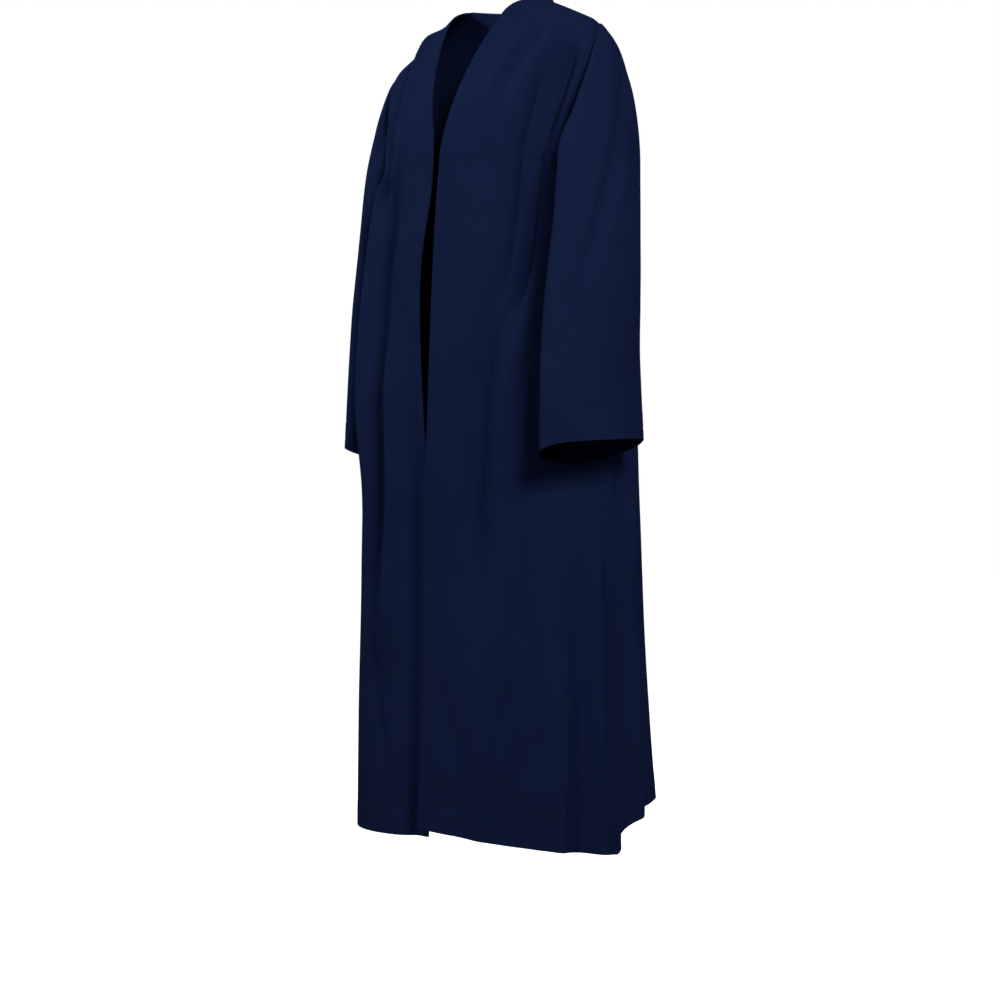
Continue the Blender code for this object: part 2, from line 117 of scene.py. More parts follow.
# The cloth's looks: its two blues and where the noise turns from one to the other, the fine noise of its
# threads (drawn out down the cloth), the broad noise of its clouds, and how rough it is and how it shines
DARK_BLUE = (0.0050, 0.0099, 0.0345, 1)
LIGHT_BLUE = (0.0069, 0.0133, 0.0450, 1)
BLUE_FROM = 0.35
THREAD_SCALE = 420
THREAD_STRETCH = (1.0, 1.0, 0.06)
THREAD_SHARE = 0.35
CLOUD_SCALE = 9
BUMP_STRENGTH = 0.12
BUMP_HEIGHT = 0.0004
CLOTH_ROUGHNESS = 0.72
SHEEN = 0.006
SHEEN_ROUGHNESS = 0.45
SHEEN_BLUE = (0.45, 0.6, 1.0, 1)

# The share of a panel's width from which its surface is drawn to the side line
FIT_FROM = 0.6

# The share of half the back's width that lies under the neck
NECK_SHARE = 0.3

# The floor under the robe. Seen by the camera it is as bright as the surroundings
FLOOR_Z = -1.51
FLOOR_SIZE = 60
FLOOR_GLOW = 1.05
WORLD_STRENGTH = 1.0

# The camera: its place, its turn about Z, its pitch above level, and its lens and sensor in millimetres
CAMERA_PLACE = (2.2571, -2.2684, -0.86)
CAMERA_TURN = math.radians(45)
CAMERA_PITCH = math.atan(0.02)
CAMERA_LENS = 72
CAMERA_SENSOR = 36

LEFT = 1
RIGHT = -1


def table(columns, rows):
    """Turns rows of numbers into named columns."""
    names = columns.split()
    return {name: np.array([row[i] for row in rows]) for i, name in enumerate(names)}


def points(columns, name):
    """The three columns NAME_x, NAME_y and NAME_z, as one point for each row."""
    return np.stack([columns[name + "_x"], columns[name + "_y"], columns[name + "_z"]], axis=1)


# The line down each side of the body. The first seven rows are the armhole, front and back, from the
# shoulder tip to the underarm, and the rest is the side seam. down is the distance from the shoulder.
SIDE = table(
    "down   front_x front_y front_z  back_x  back_y  back_z",
    [
        [0.000, 0.210, -0.006, -0.060, 0.210, -0.006, -0.060],
        [0.044, 0.226, -0.034, -0.089, 0.216, 0.022, -0.090],
        [0.092, 0.228, -0.047, -0.130, 0.221, 0.041, -0.132],
        [0.146, 0.221, -0.055, -0.179, 0.219, 0.053, -0.181],
        [0.203, 0.206, -0.070, -0.230, 0.213, 0.059, -0.231],
        [0.260, 0.200, -0.062, -0.280, 0.206, 0.044, -0.279],
        [0.327, 0.198, -0.012, -0.305, 0.198, -0.012, -0.305],
        [0.452, 0.206, -0.010, -0.430, 0.206, -0.010, -0.430],
        [0.622, 0.220, -0.010, -0.600, 0.220, -0.010, -0.600],
        [0.823, 0.235, -0.011, -0.800, 0.235, -0.011, -0.800],
        [1.083, 0.248, -0.015, -1.060, 0.248, -0.015, -1.060],
        [1.355, 0.259, -0.019, -1.331, 0.259, -0.019, -1.331],
    ],
)
UNDERARM_ROW = 6

# The free edge of each front, from the neck end of the shoulder seam down the V neck to the hem. x is
# measured from the middle towards that front's own side.
EDGE_LEFT = table(
    "edge_x edge_y edge_z",
    [
        [0.0770, -0.008, 0.000],
        [0.0650, -0.053, -0.020],
        [0.0553, -0.083, -0.058],
        [0.0415, -0.112, -0.110],
        [0.0264, -0.136, -0.172],
        [0.0100, -0.1475, -0.235],
        [0.0045, -0.152, -0.300],
        [-0.0010, -0.157, -0.425],
        [-0.0047, -0.162, -0.590],
        [-0.0085, -0.1665, -0.790],
        [-0.0060, -0.170, -1.040],
        [-0.0130, -0.177, -1.303],
    ],
)
EDGE_RIGHT = table(
    "edge_x edge_y edge_z",
    [
        [0.0770, -0.008, 0.000],
        [0.0650, -0.053, -0.020],
        [0.0553, -0.083, -0.058],
        [0.0415, -0.112, -0.110],
        [0.0264, -0.136, -0.172],
        [0.0110, -0.1475, -0.235],
        [0.0106, -0.151, -0.300],
        [0.0310, -0.155, -0.425],
        [0.0285, -0.158, -0.590],
        [0.0080, -0.1595, -0.790],
        [0.0020, -0.163, -1.040],
        [-0.0005, -0.169, -1.316],
    ],
)

# How a front swells between its edge and its side, at each level: the pull of its curve away from each.
FRONT_SWELL = table(
    "edge_x edge_y edge_z  side_x  side_y side_z",
    [
        [0.045, 0.000, -0.016, -0.050, -0.002, 0.024],
        [0.050, 0.000, -0.034, -0.055, -0.012, 0.018],
        [0.060, -0.002, -0.020, -0.055, -0.028, 0.022],
        [0.065, -0.003, -0.020, -0.050, -0.045, 0.020],
        [0.075, -0.003, -0.018, -0.035, -0.045, 0.018],
        [0.085, -0.003, -0.012, -0.015, -0.060, 0.012],
        [0.112, -0.004, -0.002, 0.006, -0.112, 0.002],
        [0.140, -0.005, 0.000, 0.005, -0.115, 0.000],
        [0.165, -0.007, 0.000, 0.006, -0.125, 0.000],
        [0.180, -0.008, 0.000, 0.004, -0.130, 0.000],
        [0.175, -0.006, -0.007, 0.002, -0.125, 0.007],
        [0.165, -0.004, -0.012, 0.000, -0.115, 0.012],
    ],
)

# The middle line of the back, and how each half swells between it and the side.
BACK_LEVELS = table(
    "middle_x middle_y middle_z  out_x  out_y  out_z  side_x side_y side_z",
    [
        [0.0, 0.078, 0.004, 0.045, 0.000, 0.002, 0.002, 0.053, 0.008],
        [0.0, 0.091, -0.035, 0.090, -0.004, 0.004, -0.060, 0.022, 0.022],
        [0.0, 0.102, -0.085, 0.090, 0.000, -0.002, -0.060, 0.030, 0.018],
        [0.0, 0.113, -0.140, 0.100, 0.000, -0.004, -0.050, 0.040, 0.015],
        [0.0, 0.120, -0.200, 0.100, 0.000, -0.004, -0.040, 0.040, 0.012],
        [0.0, 0.125, -0.260, 0.105, 0.000, -0.004, -0.010, 0.055, 0.010],
        [0.0, 0.129, -0.320, 0.120, 0.000, 0.000, 0.004, 0.090, 0.000],
        [0.0, 0.138, -0.440, 0.135, 0.000, 0.000, 0.006, 0.105, 0.000],
        [0.0, 0.154, -0.600, 0.150, 0.000, 0.000, 0.008, 0.120, 0.000],
        [0.0, 0.162, -0.790, 0.150, 0.000, 0.000, 0.006, 0.107, 0.000],
        [0.0, 0.176, -1.035, 0.148, 0.000, 0.000, 0.002, 0.098, 0.020],
        [0.0, 0.198, -1.268, 0.165, 0.000, 0.000, -0.004, 0.108, 0.100],
    ],
)

# The rings of each sleeve, from the armhole to the cuff: the points of the ring that lie outermost,
# foremost, nearest to the body and rearmost. along is the distance from the armhole.
SLEEVE_COLUMNS = (
    "along outer_x outer_y outer_z front_x front_y front_z inner_x inner_y inner_z back_x back_y back_z"
)
SLEEVE_LEFT = table(
    SLEEVE_COLUMNS,
    [
        [0.00, 0.210, -0.006, -0.060, 0.219, -0.058, -0.190, 0.198, -0.012, -0.305, 0.218, 0.055, -0.190],
        [0.05, 0.228, -0.008, -0.083, 0.232, -0.100, -0.235, 0.208, -0.024, -0.332, 0.225, 0.044, -0.228],
        [0.12, 0.257, -0.022, -0.142, 0.243, -0.128, -0.300, 0.217, -0.040, -0.372, 0.238, 0.040, -0.290],
        [0.23, 0.290, -0.062, -0.280, 0.252, -0.150, -0.390, 0.227, -0.070, -0.450, 0.250, 0.032, -0.390],
        [0.39, 0.310, -0.090, -0.480, 0.266, -0.184, -0.540, 0.236, -0.094, -0.585, 0.268, 0.014, -0.560],
        [0.57, 0.326, -0.101, -0.714, 0.281, -0.2045, -0.729, 0.243, -0.102, -0.748, 0.285, 0.0035, -0.716],
    ],
)
SLEEVE_RIGHT = table(
    SLEEVE_COLUMNS,
    [
        [0.00, 0.210, -0.006, -0.060, 0.219, -0.058, -0.190, 0.198, -0.012, -0.305, 0.218, 0.055, -0.190],
        [0.05, 0.232, 0.000, -0.088, 0.232, -0.073, -0.235, 0.208, -0.010, -0.332, 0.229, 0.062, -0.228],
        [0.12, 0.262, 0.003, -0.146, 0.245, -0.078, -0.300, 0.218, 0.010, -0.372, 0.240, 0.078, -0.290],
        [0.23, 0.290, 0.010, -0.280, 0.254, -0.084, -0.390, 0.229, 0.012, -0.450, 0.250, 0.094, -0.390],
        [0.39, 0.312, 0.018, -0.480, 0.268, -0.088, -0.540, 0.240, 0.021, -0.585, 0.268, 0.1135, -0.560],
        [0.57, 0.328, 0.022, -0.703, 0.288, -0.083, -0.710, 0.247, 0.023, -0.733, 0.285, 0.128, -0.715],
    ],
)
# The part of a sleeve's length over which its rings turn into the armhole's own line
ARMHOLE_BLEND = 0.20

# The largest folds, a row for each: where it starts and ends down the panel, how far it lies from the
# front edge (or on the back from the middle, to the left) at its start, half way and at its end, half its
# width, its height (below zero for a trough), and the lengths over which it rises and dies away.
FOLD_COLUMNS = "start  end  at_start at_half at_end  half_width height  ease_in ease_out"
FOLDS_LEFT = table(
    FOLD_COLUMNS,
    [
        [0.07, 0.62, 0.120, 0.152, 0.122, 0.020, -0.023, 0.12, 0.16],
        [0.46, 1.22, 0.128, 0.110, 0.114, 0.023, -0.017, 0.16, 0.40],
        [0.55, 1.05, 0.192, 0.194, 0.188, 0.022, 0.006, 0.15, 0.25],
        [0.85, 1.50, 0.272, 0.285, 0.298, 0.022, -0.014, 0.30, 0.01],
        [1.05, 1.50, 0.246, 0.254, 0.258, 0.020, 0.007, 0.20, 0.01],
        [1.10, 1.50, 0.056, 0.080, 0.092, 0.024, -0.004, 0.12, 0.01],
    ],
)
FOLDS_RIGHT = table(
    FOLD_COLUMNS,
    [
        [0.04, 0.44, 0.027, 0.071, 0.118, 0.018, 0.009, 0.05, 0.14],
        [0.48, 1.18, 0.072, 0.090, 0.104, 0.018, 0.010, 0.20, 0.18],
        [0.28, 1.12, 0.096, 0.103, 0.146, 0.022, -0.020, 0.14, 0.30],
        [0.22, 0.95, 0.150, 0.150, 0.174, 0.018, 0.010, 0.15, 0.30],
        [0.62, 1.50, 0.034, 0.036, 0.036, 0.022, -0.014, 0.25, 0.10],
        [0.85, 1.50, 0.260, 0.275, 0.290, 0.026, -0.008, 0.30, 0.01],
    ],
)
FOLDS_BACK = table(
    FOLD_COLUMNS,
    [
        [0.20, 1.50, -0.012, -0.018, -0.030, 0.034, -0.012, 0.60, 0.01],
        [0.35, 1.50, 0.060, 0.070, 0.072, 0.030, 0.011, 0.70, 0.01],
        [0.28, 1.50, 0.125, 0.145, 0.150, 0.030, -0.013, 0.60, 0.01],
        [0.60, 1.50, 0.200, 0.215, 0.225, 0.028, 0.010, 0.60, 0.01],
        [0.60, 1.50, 0.290, 0.332, 0.355, 0.030, -0.017, 0.30, 0.01],
        [0.45, 1.50, -0.085, -0.092, -0.100, 0.030, 0.010, 0.70, 0.01],
        [0.25, 1.50, -0.140, -0.165, -0.178, 0.032, -0.012, 0.60, 0.01],
        [0.75, 1.50, -0.225, -0.240, -0.255, 0.028, 0.009, 0.50, 0.01],
        [0.90, 1.50, -0.300, -0.318, -0.325, 0.024, -0.008, 0.40, 0.01],
    ],
)
# The same for the sleeves: places and widths are shares of a full turn, from the outermost line forward.
SLEEVE_FOLDS_LEFT = table(
    FOLD_COLUMNS,
    [
        [0.06, 0.44, 0.060, -0.030, -0.150, 0.060, 0.004, 0.12, 0.12],
        [0.38, 0.60, -0.120, -0.100, -0.095, 0.050, -0.005, 0.08, 0.02],
        [0.12, 0.60, -0.250, -0.220, -0.205, 0.060, -0.004, 0.15, 0.02],
    ],
)
SLEEVE_FOLDS_RIGHT = table(
    FOLD_COLUMNS,
    [
        [0.08, 0.48, 0.050, -0.020, -0.120, 0.060, 0.004, 0.12, 0.12],
        [0.30, 0.60, 0.100, 0.110, 0.115, 0.060, -0.006, 0.12, 0.02],
        [0.14, 0.60, -0.200, -0.200, -0.185, 0.060, -0.005, 0.15, 0.02],
    ],
)
# Further folds and finer creases, which the solids don't have, in the same columns
CREASES_LEFT = table(
    FOLD_COLUMNS,
    [
        [0.05, 0.24, 0.074, 0.065, 0.060, 0.009, 0.0055, 0.04, 0.08],
        [0.05, 0.22, 0.098, 0.084, 0.078, 0.009, -0.0050, 0.04, 0.08],
        [0.04, 0.26, 0.112, 0.112, 0.114, 0.010, 0.0045, 0.04, 0.10],
        [0.08, 0.30, 0.140, 0.160, 0.174, 0.012, 0.0025, 0.06, 0.14],
        [0.06, 0.32, 0.160, 0.180, 0.193, 0.0085, -0.0090, 0.05, 0.13],
        [0.30, 0.62, 0.072, 0.078, 0.082, 0.018, -0.0022, 0.10, 0.10],
        [0.05, 0.68, 0.150, 0.176, 0.134, 0.018, -0.0180, 0.08, 0.24],
        [0.08, 0.60, 0.112, 0.136, 0.112, 0.018, 0.0100, 0.10, 0.20],
        [0.50, 1.15, 0.116, 0.098, 0.106, 0.018, -0.0050, 0.16, 0.30],
        [0.68, 1.15, 0.072, 0.050, 0.048, 0.009, 0.0028, 0.15, 0.30],
        [0.66, 0.98, 0.088, 0.080, 0.082, 0.009, 0.0022, 0.12, 0.20],
        [0.93, 1.27, 0.167, 0.161, 0.147, 0.010, -0.0060, 0.12, 0.14],
        [0.95, 1.24, 0.192, 0.186, 0.176, 0.011, 0.0030, 0.12, 0.12],
        [0.95, 1.50, 0.214, 0.222, 0.226, 0.010, 0.0018, 0.20, 0.01],
        [0.78, 1.50, 0.310, 0.317, 0.334, 0.014, 0.0095, 0.15, 0.01],
        [1.10, 1.50, 0.255, 0.257, 0.258, 0.008, 0.0035, 0.15, 0.01],
        [1.15, 1.50, 0.270, 0.271, 0.272, 0.008, -0.0030, 0.12, 0.01],
        [1.00, 1.50, 0.118, 0.124, 0.128, 0.012, 0.0022, 0.20, 0.01],
        [1.16, 1.50, 0.020, 0.024, 0.030, 0.010, 0.0012, 0.12, 0.01],
    ],
)
CREASES_RIGHT = table(
    FOLD_COLUMNS,
    [
        [0.04, 0.40, 0.025, 0.068, 0.110, 0.009, 0.0060, 0.04, 0.12],
        [0.05, 0.24, 0.058, 0.075, 0.086, 0.008, -0.0070, 0.04, 0.06],
        [0.06, 0.24, 0.080, 0.094, 0.104, 0.007, 0.0050, 0.04, 0.08],
        [0.05, 0.22, 0.098, 0.112, 0.120, 0.007, -0.0060, 0.04, 0.06],
        [0.14, 0.36, 0.128, 0.124, 0.118, 0.010, -0.0080, 0.06, 0.06],
        [0.24, 0.85, 0.150, 0.151, 0.164, 0.008, 0.0065, 0.10, 0.20],
        [0.40, 0.90, 0.020, 0.024, 0.036, 0.009, -0.0018, 0.12, 0.20],
        [0.52, 1.16, 0.074, 0.091, 0.103, 0.008, 0.0060, 0.16, 0.14],
        [1.02, 1.28, 0.138, 0.122, 0.110, 0.009, -0.0050, 0.08, 0.08],
        [0.70, 1.25, 0.190, 0.205, 0.214, 0.014, -0.0030, 0.20, 0.30],
        [0.95, 1.50, 0.232, 0.240, 0.246, 0.012, 0.0022, 0.20, 0.01],
    ],
)
CREASES_BACK = table(
    FOLD_COLUMNS,
    [
        [0.08, 0.40, -0.130, -0.100, -0.085, 0.014, 0.0022, 0.08, 0.20],
        [0.08, 0.42, 0.130, 0.108, 0.096, 0.013, 0.0024, 0.08, 0.20],
        [0.20, 0.75, 0.020, 0.026, 0.030, 0.014, 0.0024, 0.15, 0.30],
        [0.18, 0.60, -0.185, -0.160, -0.120, 0.013, -0.0024, 0.10, 0.25],
        [0.20, 0.66, 0.185, 0.165, 0.130, 0.013, -0.0022, 0.10, 0.25],
        [0.70, 1.50, 0.100, 0.108, 0.110, 0.012, -0.0026, 0.25, 0.01],
        [0.80, 1.50, -0.050, -0.058, -0.062, 0.012, 0.0026, 0.25, 0.01],
        [0.72, 1.50, 0.258, 0.286, 0.322, 0.011, 0.0070, 0.20, 0.01],
        [0.95, 1.50, 0.240, 0.258, 0.292, 0.011, -0.0055, 0.15, 0.01],
        [0.90, 1.50, -0.200, -0.208, -0.214, 0.012, 0.0026, 0.20, 0.01],
        [1.00, 1.50, -0.350, -0.362, -0.368, 0.012, 0.0030, 0.20, 0.01],
    ],
)
SLEEVE_CREASES_LEFT = table(
    FOLD_COLUMNS,
    [
        [0.05, 0.30, 0.150, 0.120, 0.080, 0.022, -0.0018, 0.08, 0.12],
        [0.03, 0.42, -0.070, -0.012, 0.110, 0.028, -0.0095, 0.06, 0.12],
        [0.08, 0.50, -0.160, -0.120, -0.040, 0.040, 0.0035, 0.12, 0.12],
        [0.12, 0.36, -0.200, -0.225, -0.255, 0.012, -0.0025, 0.06, 0.10],
        [0.04, 0.22, 0.300, 0.330, 0.380, 0.030, -0.0040, 0.06, 0.10],
        [0.05, 0.28, -0.300, -0.340, -0.390, 0.030, -0.0040, 0.06, 0.12],
        [0.28, 0.60, 0.170, 0.165, 0.160, 0.024, 0.0020, 0.12, 0.02],
    ],
)
SLEEVE_CREASES_RIGHT = table(
    FOLD_COLUMNS,
    [
        [0.05, 0.32, 0.140, 0.110, 0.060, 0.022, -0.0020, 0.08, 0.12],
        [0.04, 0.24, 0.300, 0.340, 0.380, 0.030, -0.0040, 0.06, 0.10],
        [0.05, 0.28, -0.290, -0.340, -0.380, 0.030, -0.0040, 0.06, 0.12],
        [0.25, 0.60, 0.200, 0.190, 0.185, 0.024, 0.0022, 0.12, 0.02],
        [0.20, 0.60, -0.080, -0.100, -0.110, 0.022, 0.0018, 0.12, 0.02],
    ],
)
# Folds and creases die away over this length beside a seam
SEAM_CALM = 0.03


def ramp(value, start, end):
    """0 before start, 1 after end, and a soft step between them."""
    share = np.clip((value - start) / (end - start), 0.0, 1.0)
    return share * share * (3.0 - 2.0 * share)


def smooth(knots, values, at):
    """A smooth curve through the rows of values, which stand at the knots, read at the places in at."""
    gaps = np.diff(knots)
    shape = (-1,) + (1,) * (values.ndim - 1)
    steps = np.diff(values, axis=0) / gaps.reshape(shape)
    before = gaps[:-1].reshape(shape)
    after = gaps[1:].reshape(shape)
    slopes = np.empty_like(values)
    slopes[1:-1] = (steps[:-1] * after + steps[1:] * before) / (before + after)
    slopes[0] = 1.5 * steps[0] - 0.5 * slopes[1]
    slopes[-1] = 1.5 * steps[-1] - 0.5 * slopes[-2]
    row = np.clip(np.searchsorted(knots, at, side="right") - 1, 0, len(knots) - 2)
    gap = gaps[row].reshape(shape)
    t = (np.asarray(at) - knots[row]).reshape(shape) / gap
    return (
        values[row] * (1 + 2 * t) * (1 - t) ** 2
        + values[row + 1] * t * t * (3 - 2 * t)
        + slopes[row] * gap * t * (1 - t) ** 2
        - slopes[row + 1] * gap * t * t * (1 - t)
    )


def arc(start, start_pull, end, end_pull, across):
    """A row of Bezier curves from start to end, read at each share in across."""
    t = across[None, :, None]
    first, last = start[:, None], end[:, None]
    near, far = (start + start_pull)[:, None], (end + end_pull)[:, None]
    return (
        first * (1 - t) ** 3
        + near * 3 * t * (1 - t) ** 2
        + far * 3 * t * t * (1 - t)
        + last * t**3
    )


def tilted(grid):
    """The shoulders stand a little lower on the left: the tilt fades out towards the underarm."""
    moved = grid.copy()
    moved[..., 2] -= SHOULDER_TILT * grid[..., 0] * ramp(grid[..., 2], TILT_FROM, TILT_FULL)
    return moved


def mirrored(grid, side):
    """A grid as it is on the left side (1), or mirrored to the right (-1)."""
    return grid * np.array([side, 1, 1])


def down_rows():
    """The distances down the side at which a panel has its rows, closer together at the hem."""
    underarm, hem = SIDE["down"][UNDERARM_ROW], SIDE["down"][-1]
    turn = hem - HEM_DEPTH - HEM_MARGIN
    armhole = np.linspace(0, underarm, ARMHOLE_STEPS + 1)
    seam = np.linspace(underarm, turn, SIDE_STEPS + 1)
    return np.concatenate([armhole, seam[1:], np.linspace(turn, hem, HEM_STEPS + 1)[1:]])


def across_steps():
    """The shares across a front, closer together beside its turned edge and beside the seam."""
    share = np.linspace(0, 1, FRONT_STEPS + 1)
    extra = np.linspace(0, EDGE_SHARE, 2 * EDGE_STEPS + 1)
    return np.unique(np.concatenate([share, extra, 1 - extra[: EDGE_STEPS + 1]]))


def side_line(which, down):
    """The armhole and side seam of the front or the back panel, with a corner at the underarm."""
    knots, line = SIDE["down"], points(SIDE, which)
    armhole = smooth(knots[: UNDERARM_ROW + 1], line[: UNDERARM_ROW + 1], down)
    seam = smooth(knots[UNDERARM_ROW:], line[UNDERARM_ROW:], down)
    return np.where(down[:, None] <= knots[UNDERARM_ROW], armhole, seam)


def fitted_to_side(grid, line, across):
    """Draws the outer part of a panel's surface to its side line."""
    miss = line - grid[:, -1]
    return grid + miss[:, None] * ramp(across, FIT_FROM, 1)[None, :, None]


def front_surface(edge, side, across, down):
    """A front, as a grid of points: a row for each distance down, from the front edge to the side."""
    levels = arc(
        points(edge, "edge"),
        points(FRONT_SWELL, "edge"),
        points(SIDE, "front"),
        points(FRONT_SWELL, "side"),
        across,
    )
    grid = smooth(SIDE["down"], levels, down)
    grid = fitted_to_side(grid, side_line("front", down), across)
    return tilted(mirrored(grid, side))


def back_surface(neck, shoulder, down):
    """Half the back, from the middle line to the side, as it is on the left. The first row follows the
    neck edge and then the shoulder seam, which is the first row of a front."""
    across = np.concatenate([neck * NECK_SHARE, NECK_SHARE + shoulder[1:] * (1 - NECK_SHARE)])
    middle, middle_pull = points(BACK_LEVELS, "middle"), points(BACK_LEVELS, "out")
    side_pull = points(BACK_LEVELS, "side")
    levels = arc(middle, middle_pull, points(SIDE, "back"), side_pull, across)
    neck_end = points(EDGE_LEFT, "edge")[:1]
    neck_row = arc(middle[:1], middle_pull[:1], neck_end, side_pull[:1], neck)
    seam_row = arc(
        neck_end,
        points(FRONT_SWELL, "edge")[:1],
        points(SIDE, "front")[:1],
        points(FRONT_SWELL, "side")[:1],
        shoulder,
    )
    levels[0] = np.concatenate([neck_row[0], seam_row[0, 1:]])
    grid = smooth(SIDE["down"], levels, down)
    return fitted_to_side(grid, side_line("back", down), across)


def whole_back(neck, shoulder, down):
    """The back from the right side seam to the left one."""
    left = back_surface(neck, shoulder, down)
    right = mirrored(left, RIGHT)[:, ::-1]
    return tilted(np.concatenate([right[:, :-1], left], axis=1))


def armhole_ring(down):
    """The armhole as a ring: from the shoulder tip down its front to the underarm, and up its back."""
    front = side_line("front", down)
    back = side_line("back", down)
    return np.concatenate([front, back[-2:0:-1]])


def sleeve_surface(rings, side, down, along):
    """A sleeve as a grid of rings. Each ring has the armhole's own points round it."""
    steps = len(down) - 1
    turn = np.pi * np.arange(2 * steps) / steps
    outer, front = points(rings, "outer"), points(rings, "front")
    inner, back = points(rings, "inner"), points(rings, "back")
    # Each ring is a middle and three waves round it, and so passes through its four points.
    outer_wave = np.cos(turn)[None, :, None]
    front_wave = np.sin(turn)[None, :, None]
    cross_wave = np.cos(2 * turn)[None, :, None]
    levels = (
        ((outer + front + inner + back) / 4)[:, None]
        + ((outer - inner) / 2)[:, None] * outer_wave
        + ((front - back) / 2)[:, None] * front_wave
        + ((outer + inner - front - back) / 4)[:, None] * cross_wave
    )
    grid = smooth(rings["along"], levels, along)
    part_of_armhole = 1 - ramp(along, 0, ARMHOLE_BLEND)
    grid += part_of_armhole[:, None, None] * (armhole_ring(down) - grid[0])
    return tilted(mirrored(grid, side))


def normals_of(grid, closed):
    """The outward normals of a grid whose rows run anticlockwise, seen from above."""
    if closed:
        wide = np.concatenate([grid[:, -1:], grid, grid[:, :1]], axis=1)
        across = (wide[:, 2:] - wide[:, :-2]) / 2
    else:
        across = np.gradient(grid, axis=1)
    normals = np.cross(np.gradient(grid, axis=0), across)
    return normals / np.linalg.norm(normals, axis=2, keepdims=True)


def fold_heights(place, down, folds):
    """How far the folds lift each point of a grid. place is each point's place across its row."""
    height = np.zeros_like(place)
    for start, end, at_start, at_half, at_end, half_width, top, ease_in, ease_out in zip(*folds.values()):
        line = smooth(
            np.array([start, (start + end) / 2, end]),
            np.array([at_start, at_half, at_end]),
            np.clip(down, start, end),
        )
        strength = ramp(down, start, start + ease_in) * (1 - ramp(down, end - ease_out, end))
        height += top * strength[:, None] * np.exp(-(((place - line[:, None]) / half_width) ** 2))
    return height


def place_along_rows(grid, zero_column):
    """How far each point of a grid lies from the column at zero_column, along its own row."""
    steps = np.linalg.norm(np.diff(grid, axis=1), axis=2)
    place = np.concatenate([np.zeros((len(grid), 1)), np.cumsum(steps, axis=1)], axis=1)
    return place - place[:, zero_column, None]


def fold_panel(grid, zero_column, seam_columns, down, folds, outward):
    """Adds the folds to a front or the back. They die away beside its seams."""
    place = place_along_rows(grid, zero_column)
    height = fold_heights(place, down, folds) * ramp(down, 0, SEAM_CALM)[:, None]
    for column in seam_columns:
        height *= ramp(np.abs(place - place[:, column, None]), 0, SEAM_CALM)
    return grid + outward * normals_of(grid, False) * height[..., None]


def fold_sleeve(grid, along, folds, outward):
    """Adds the folds to a sleeve, whose ring closes on itself."""
    turn = np.arange(grid.shape[1]) / grid.shape[1]
    turn = np.repeat(turn[None, :], len(grid), axis=0)
    height = sum(fold_heights(turn + whole, along, folds) for whole in (-1, 0, 1))
    return grid + outward * normals_of(grid, True) * height[..., None]


def reach_along(grid, axis, from_end):
    """How far each point lies from the first or last row (axis 0) or column (axis 1), along the cloth."""
    steps = np.linalg.norm(np.diff(grid, axis=axis), axis=2)
    total = np.cumsum(steps, axis=axis)
    first = np.zeros_like(np.take(total, [0], axis=axis))
    reach = np.concatenate([first, total], axis=axis)
    return np.take(reach, [-1], axis=axis) - reach if from_end else reach


def drift(place, down, seed, height):
    """A slight unevenness, in long soft waves that run mostly down the cloth."""
    random = np.random.default_rng(seed)
    wave = np.zeros_like(place)
    for _ in range(DRIFT_WAVES):
        across = random.uniform(*DRIFT_ACROSS)
        along = random.uniform(*DRIFT_DOWN)
        start = random.uniform(0, 2 * math.pi)
        wave += np.sin(across * place + along * down[:, None] + start) / DRIFT_WAVES
    return height * wave


def line_groove(reach, depth):
    """A stitched line in the cloth, at this distance from its edge."""
    return -LINE_DEPTH * np.exp(-(((reach - depth) / LINE_WIDTH) ** 2))


def turned(reach, depth):
    """1 where the cloth is turned double at its edge and 0 beyond."""
    return 1 - ramp(reach, depth - TURN_SOFTNESS, depth + TURN_SOFTNESS)


def armhole_dip(reach, down):
    """The deeper dip along an armhole, from which the sleeve hangs. It fades out towards the underarm."""
    fade = 1 - ramp(down, ARMHOLE_DIP_FROM, ARMHOLE_DIP_END)
    return -ARMHOLE_DIP * np.exp(-((reach / ARMHOLE_DIP_WIDTH) ** 2)) * fade


def seam_dip(reach, along, seed):
    """The dip beside a seam, with small puckers along it."""
    random = np.random.default_rng(seed)
    wander = PUCKER_WANDER * np.sin(along * WANDER_WAVE + random.uniform(0, 6))
    pucker = np.sin(along * PUCKER_WAVE + wander)
    fade = np.exp(-((reach / PUCKER_REACH) ** 2)) * ramp(reach, 0, PUCKER_START)
    return -SEAM_DIP * np.exp(-((reach / SEAM_WIDTH) ** 2)) + PUCKER_HEIGHT * pucker * fade


class Panel:
    """A piece of cloth: its outer points, their normals, its seams, and how thick it is at each point."""

    def __init__(self, name, grid, closed=False):
        self.name = name
        self.grid = grid
        self.closed = closed
        self.normals = normals_of(grid, closed)
        self.seams = []
        self.lift = np.zeros(grid.shape[:2])
        self.thickness = np.full(grid.shape[:2], CLOTH)

    def sew(self, place, reach, along, seed):
        """Makes the row or column at place a seam, with its dip and puckers."""
        self.seams.append(place)
        self.lift += seam_dip(reach, along, seed)

    def hem(self, reach, depth, lines):
        """Turns the cloth up to this depth from its edge, with stitched lines."""
        double = turned(reach, depth)
        self.lift += TURN_LIFT * double
        self.thickness += (DOUBLE - CLOTH) * double
        for line in lines:
            self.lift += line_groove(reach, line)


def joined_normal(own, others):
    """One normal for pieces that meet flat or in a ridge. In a sharp crease each piece keeps its own."""
    total = ramp(others @ own, 0, SHARED_COSINE) @ others
    return total / np.linalg.norm(total)


